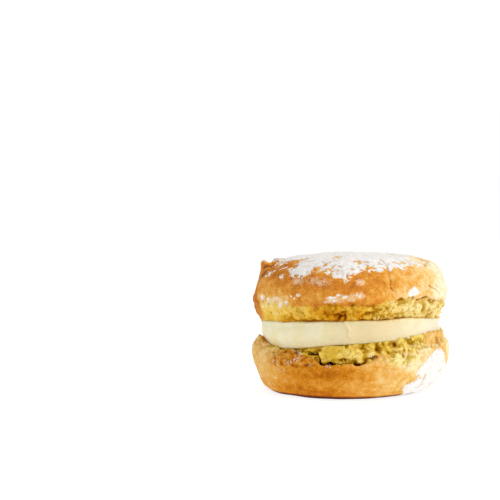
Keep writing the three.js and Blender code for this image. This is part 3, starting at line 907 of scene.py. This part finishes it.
# Clumps of sugar under its edge: azimuth, height, half width, half height.
SUGAR_CLUMPS = [
    (40, 24.8, 1.9, 1.2), (323.4, 23.9, 0.4, 0.28), (325.2, 23.3, 0.3, 0.25),
    (328.2, 24, 0.5, 0.45), (353.2, 24.4, 0.7, 0.45), (356.8, 24, 0.7, 0.25),
    (349, 23.7, 1.4, 0.25), (310.8, 28.5, 0.35, 0.3), (312.6, 28, 0.3, 0.25), (298, 29.9, 0.3, 0.3),
    (296, 28.5, 1, 0.55), (300, 28.9, 0.6, 0.3), (310.4, 28.1, 0.7, 0.4), (293.5, 27.9, 0.5, 0.3),
    (150, 25, 1.5, 0.8), (238, 26, 1.2, 0.9),
]
# Thin sugar on the crust there: azimuth, height, half width, half height, share.
SUGAR_HAZE = [
    (346, 22.9, 1.4, 0.5, 0.45), (350.5, 23.3, 2.4, 0.8, 0.52), (357.5, 23.7, 1.6, 0.8, 0.45),
    (4.6, 24.3, 1.9, 0.9, 0.5), (1.4, 23.4, 1, 0.6, 0.5), (6, 27.2, 1.3, 0.9, 0.5),
    (296, 22.9, 1.5, 0.8, 0.62), (303.4, 22.4, 0.7, 0.8, 0.62), (311, 22.9, 1.4, 0.7, 0.6),
    (315, 21.9, 1.1, 0.8, 0.62), (319.8, 22, 0.7, 0.8, 0.58), (297.4, 20.7, 0.5, 0.4, 0.6),
    (327, 27.2, 2.6, 1, 0.42), (341, 27.4, 4, 1.2, 0.38), (297, 28.4, 1.8, 0.9, 0.4),
    (311.5, 28.2, 1.5, 0.8, 0.36), (290, 26, 0.5, 1.4, 0.5), (140, 25, 3.4, 1.2, 0.55),
    (190, 24, 4, 1.4, 0.5), (240, 26, 3, 1.6, 0.5),
]
SUGAR_LOBE = (324, 29.3, 2.4, 0.8)  # thickest sugar, at the front left
SUGARLESS = (268, 28.7, 3.4, 1.9)  # bare crust under the flap
STREAKS = Vector((0.9, -0.25, 0.35))  # the way that the sugar is swept


def swept(at, long, across):
    """Points drawn together along the streaks, so that noise over them is stretched."""
    way = np.array(STREAKS.normalized())
    along = at @ way
    return at / across + np.outer(along * (1 / long - 1 / across), way)


def upper_sugar(p):
    """Sugar on the upper biscuit: above 0 where it covers the crust, 1 where it is thick."""
    depth = p.height - interpolated(SUGAR_EDGE, p.azimuth)
    bare = 1 - interpolated(SUGAR_DENSITY, p.azimuth)
    bare = bare * (1 - 0.6 * rise(p.height, 31.8, 32.6))
    bare = bare * (1 - 0.8 * rise(p.at[:, 1], -9, -4) * (1 - rise(p.at[:, 0], 12, 16)))
    bare = bare * rise(p.radius, 4, 13)
    streaks = 1.3 * perlin(swept(p.at, 3.2, 0.7), 1, 3, 71)
    ragged = 0.5 * perlin(p.at, 1.3, 3, 72)
    thin = 0.35 + 0.65 * bell(depth - 0.3, 1.2)
    holes = thin * rise(perlin(p.at, 0.8, 2, 73), 0.1, 0.35) * (0.4 + 0.6 * rise(32.4 - p.height, 0, 1))
    gaps = sum(p.line(*gap) for gap in SUGAR_GAPS) * rise(p.radius, 6, 9)
    cover = 1.1 * np.clip(depth, -2.5, 1) + streaks * (0.35 + bare) + ragged - 1.7 * bare
    cover += 0.8 * np.clip(depth - 1, 0, 1) * (1 - bare)
    cover -= 3 * np.clip(gaps, 0, 1) * (0.8 + 0.8 * ragged) + 2.1 * holes
    cover += 1.2 * p.near(*SUGAR_LOBE)
    for clump in SUGAR_CLUMPS:
        cover = np.maximum(cover, 3 * p.near(*clump) - 1.7 + ragged)
    return cover - 2 * p.patch(*SUGARLESS)


def upper_dust(p, cover):
    """Thin sugar on the upper biscuit, 0 to 1."""
    dust = 0.75 * rise(cover, -0.8, 0.25) + 0.25 * rise(cover, 0.1, 0.4)
    flecked = 1 + 0.4 * perlin(p.at, 1, 3, 75)
    for *place, share in SUGAR_HAZE:
        haze = 0.6 * p.near(*place) + 0.4 * p.patch(*place)
        dust = np.maximum(dust, share * haze * flecked)
    return dust


# Patch low on the right of the lower biscuit: azimuth at each height where it starts and ends.
PATCH_LEFT = [
    (1.2, 42), (1.8, 38.5), (2.2, 37.3), (3.2, 36.8), (4, 40), (5, 41.7), (6.4, 42.3), (7.7, 44.6),
    (8.6, 48.2), (9.8, 52.5), (10.7, 56.9), (11.6, 59.7),
]
PATCH_RIGHT = [(1.4, 66), (3.1, 72), (5.1, 80), (6.6, 78), (8, 72), (9.4, 69), (11, 66)]
PATCH_TOP = 11
PATCH_HOLE = (40.4, 4.9, 1.2, 0.7)
# Streaks where the crust shows through it: two places, half the width and the strength.
PATCH_GAPS = [
    ((43.4, 5.6), (45.6, 5), 0.2, 1), ((50.2, 5.6), (49.4, 3.6), 0.22, 1),
    ((47, 2.2), (52, 3.2), 0.12, 0.8), ((65, 5.6), (67.4, 6.4), 0.14, 0.8),
]
# The patch at the back: azimuth, height, half width, half height and strength.
BACK_PATCH = [(146, 4.6, 4.4, 2, 3), (166, 3.4, 3.4, 1.2, 2.4)]
# Thin sugar on the lower biscuit: azimuth, height, half width, half height, share.
LOWER_HAZE = [
    (278, 10.6, 4.5, 1.7, 0.32), (292, 11.6, 1.6, 0.8, 0.5), (278, 6, 2.4, 1.5, 0.4),
    (300, 8.6, 2.4, 1.2, 0.3), (288, 3.8, 1.6, 0.6, 0.5), (310.6, 4.4, 0.5, 0.4, 0.5),
]
# Rows of sugar grains baked into the toasted crust: two places and half the width.
GLAZE = [
    ((320, 8.2), (329.6, 9.7), 0.3), ((310.8, 9.2), (315.6, 6.5), 0.25), ((324, 11), (329.5, 10.4), 0.3),
    ((346, 8.3), (349, 8.3), 0.2), ((334, 8), (337, 8.6), 0.3), ((21, 9.5), (22, 9.3), 0.3),
]


def lower_sugar(p):
    """Sugar low on the right of the lower biscuit, with a patch like it at the back."""
    from_left = turn(p.azimuth, interpolated(PATCH_LEFT, p.height))
    from_right = turn(interpolated(PATCH_RIGHT, p.height), p.azimuth)
    right = np.minimum(np.minimum(from_left, from_right) * RIM_ARC, PATCH_TOP - p.height)
    back = spots(p, BACK_PATCH) - 1.5 + perlin(p.at, 3, 2, 83)
    gaps = p.patch(*PATCH_HOLE) + strokes(p, PATCH_GAPS)
    ragged = 0.35 * perlin(p.at, 1.8, 3, 81) + 0.4 * perlin(p.at, 0.6, 2, 82)
    patches = np.minimum(np.maximum(right, back), 2 * (p.height - 0.7))
    return np.clip(patches, -3, 1) + ragged - 2 * gaps


def lower_dust(p, cover):
    """Thin sugar on the lower biscuit, 0 to 1."""
    dust = 0.75 * rise(cover, -0.4, 0.2) + 0.25 * rise(cover, 0.1, 0.4)
    for *place, share in LOWER_HAZE:
        dust = np.maximum(dust, share * p.near(*place))
    return dust


# ---- Coat and grains ----

COAT_HEIGHT, COAT_THICKNESS = 0.2, 0.15  # millimetres
GRAIN_SIZES, CRUMB_SIZES = (0.05, 0.18), (0.07, 0.26)  # smallest and largest radius
GRAIN_SINK, CRUMB_SINK = 0.3, 0.45  # share that is sunk in
CRUMB_COUNT = 600


def sugar_material():
    """Powdered sugar, for the coats and the loose grains."""
    build = Shader("powdered_sugar")
    tone = build.ramp(build.grain(0.9, 3), SUGAR_TONES)
    roughness = build.uneven(0.75, 0.95, 0.4)
    build.bump([(build.grain(0.35, 4, 0.7), 0.5, 0.15)])
    build.surface(tone, roughness, specular=0.2, soft=0.2, radius=(0.5, 0.45, 0.4))
    return build.material


def coat(piece, p, cover, name):
    """A thin closed layer over a piece where it is well covered, dipping into it at its edge."""
    grainy = 0.05 * perlin(p.at, 0.7, 2, 91) - 0.05 * nearest(p.at, 0.6, 92)[0]
    over = cover - 0.25
    height = COAT_HEIGHT * rise(over, 0, 0.9) + grainy * rise(over, 0, 0.4)
    height += 0.08 * np.clip(over, -1, 0)
    made = piece.copy()
    made.data = piece.data.copy()
    made.name = made.data.name = name
    bpy.context.scene.collection.objects.link(made)
    set_points(made, p.at + p.normals * height[:, None])
    form = bmesh.new()
    form.from_mesh(made.data)
    form.verts.ensure_lookup_table()
    bare = [v for v in form.verts if over[v.index] < -0.3]
    bmesh.ops.delete(form, geom=bare, context="VERTS")
    form.to_mesh(made.data)
    form.free()
    shell = made.modifiers.new("shell", "SOLIDIFY")
    shell.thickness, shell.offset = COAT_THICKNESS * MM, -1
    apply_modifiers(made)
    return made


def scatter(name, p, weights, count, sizes, sink, seed):
    """Small rough grains over a surface, more of them where the weights are higher."""
    random = np.random.default_rng(seed)
    low, high = sizes
    form = bmesh.new()
    bmesh.ops.create_icosphere(form, subdivisions=1, radius=1)
    ball = np.array([v.co for v in form.verts])
    sides = np.array([[v.index for v in f.verts] for f in form.faces])
    form.free()
    chosen = random.choice(len(p.at), count, p=weights / weights.sum())
    size = low + (high - low) * random.random(count) ** 2.5
    at = p.at[chosen] + p.normals[chosen] * (size * (1 - 2 * sink))[:, None]
    at = at + random.normal(0, 0.1, at.shape)
    spin = random.normal(size=(count, 3, 3))
    axes = np.linalg.qr(spin)[0]
    shape = ball[None] * (1 + random.normal(0, 0.22, (count, len(ball), 1)))
    shape = shape * random.uniform(0.5, 1.2, (count, 1, 3)) * size[:, None, None]
    verts = np.einsum("nij,nkj->nki", axes, shape) + at[:, None]
    flip = np.linalg.det(axes) < 0
    verts[flip] = 2 * at[flip, None] - verts[flip]
    mesh = bpy.data.meshes.new(name)
    every = (sides[None] + (np.arange(count) * len(ball))[:, None, None]).reshape(-1, 3)
    mesh.from_pydata((verts.reshape(-1, 3) * MM).tolist(), [], every.tolist())
    mesh.shade_smooth()
    piece = bpy.data.objects.new(name, mesh)
    bpy.context.scene.collection.objects.link(piece)
    return piece


# ---- Build ----


def add_sugar(which, biscuit, p, cover, sugar):
    """Adds a biscuit's coat of sugar."""
    dress(coat(biscuit, p, cover, which + "_sugar"), sugar)


def add_grains(which, p, weights, count, seed, sugar):
    """Adds the loose grains of sugar on a biscuit."""
    name = which + "_sugar_grains"
    dress(scatter(name, p, weights, count, GRAIN_SIZES, GRAIN_SINK, seed), sugar)


def add_crumbs(which, p, weights, colours, seed):
    """Adds the loose crumbs on a biscuit."""
    name = which + "_crumb_bits"
    crumbs = scatter(name, p, weights, CRUMB_COUNT, CRUMB_SIZES, CRUMB_SINK, seed)
    dress(crumbs, bits_material(which + "_crumb", colours))


def make_upper(sugar):
    """The upper biscuit with its sugar and loose crumbs."""
    biscuit, p = make_biscuit("upper", upper_form, upper_browning_and_painted_light)
    cover = upper_sugar(p)
    dust = upper_dust(p, cover)
    set_attribute(biscuit, "dust", dust)
    dress(biscuit, biscuit_material("upper_crust", UPPER_CRUST, UPPER_CRUMB))
    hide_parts("upper_biscuit")
    add_sugar("upper", biscuit, p, cover, sugar)
    loose = bell(cover + 0.1, 0.5) + 0.3 * dust**2 + 0.0005 * rise(p.height, 22, 24)
    add_grains("upper", p, loose, 2600, 7, sugar)
    past = crust_end("upper", p.azimuth) - p.height
    above_cream = p.height - cream_top(p.at[:, 0], p.at[:, 1])
    outside = rise(p.radius, 19.5, 20.5)
    loose = outside * (rise(past, 0, 0.6) * 0.25 + bell(above_cream, 0.45))
    add_crumbs("upper", p, loose, UPPER_CRUMB, 9)


def make_lower(sugar):
    """The lower biscuit with its sugar and loose crumbs."""
    biscuit, p = make_biscuit("lower", lower_form, lower_browning_and_painted_light)
    cover = lower_sugar(p)
    dust = lower_dust(p, cover)
    set_attribute(biscuit, "dust", dust)
    dress(biscuit, biscuit_material("lower_crust", LOWER_CRUST, LOWER_CRUMB))
    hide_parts("lower_biscuit")
    add_sugar("lower", biscuit, p, cover, sugar)
    grainy = p.patch(*GRANULAR)
    glaze = sum(p.line(*row) for row in GLAZE)
    loose = bell(cover, 0.4) + 0.5 * dust**2 + 2.2 * glaze + 0.01 * grainy + 0.002
    add_grains("lower", p, loose * rise(p.height, 0.4, 1.4), 1600, 8, sugar)
    past = p.height - crust_end("lower", p.azimuth)
    below_cream = cream_bottom(p.at[:, 0], p.at[:, 1]) - p.height
    outside = rise(p.radius, 20, 21)
    loose = outside * (rise(past, 0, 0.6) * 0.3 + 0.7 * bell(below_cream, 0.4) + 0.05 * grainy)
    add_crumbs("lower", p, loose, LOWER_CRUMB, 10)


make_camera()
make_floor()
make_light()
make_cream()
sugar = sugar_material()
make_upper(sugar)
make_lower(sugar)
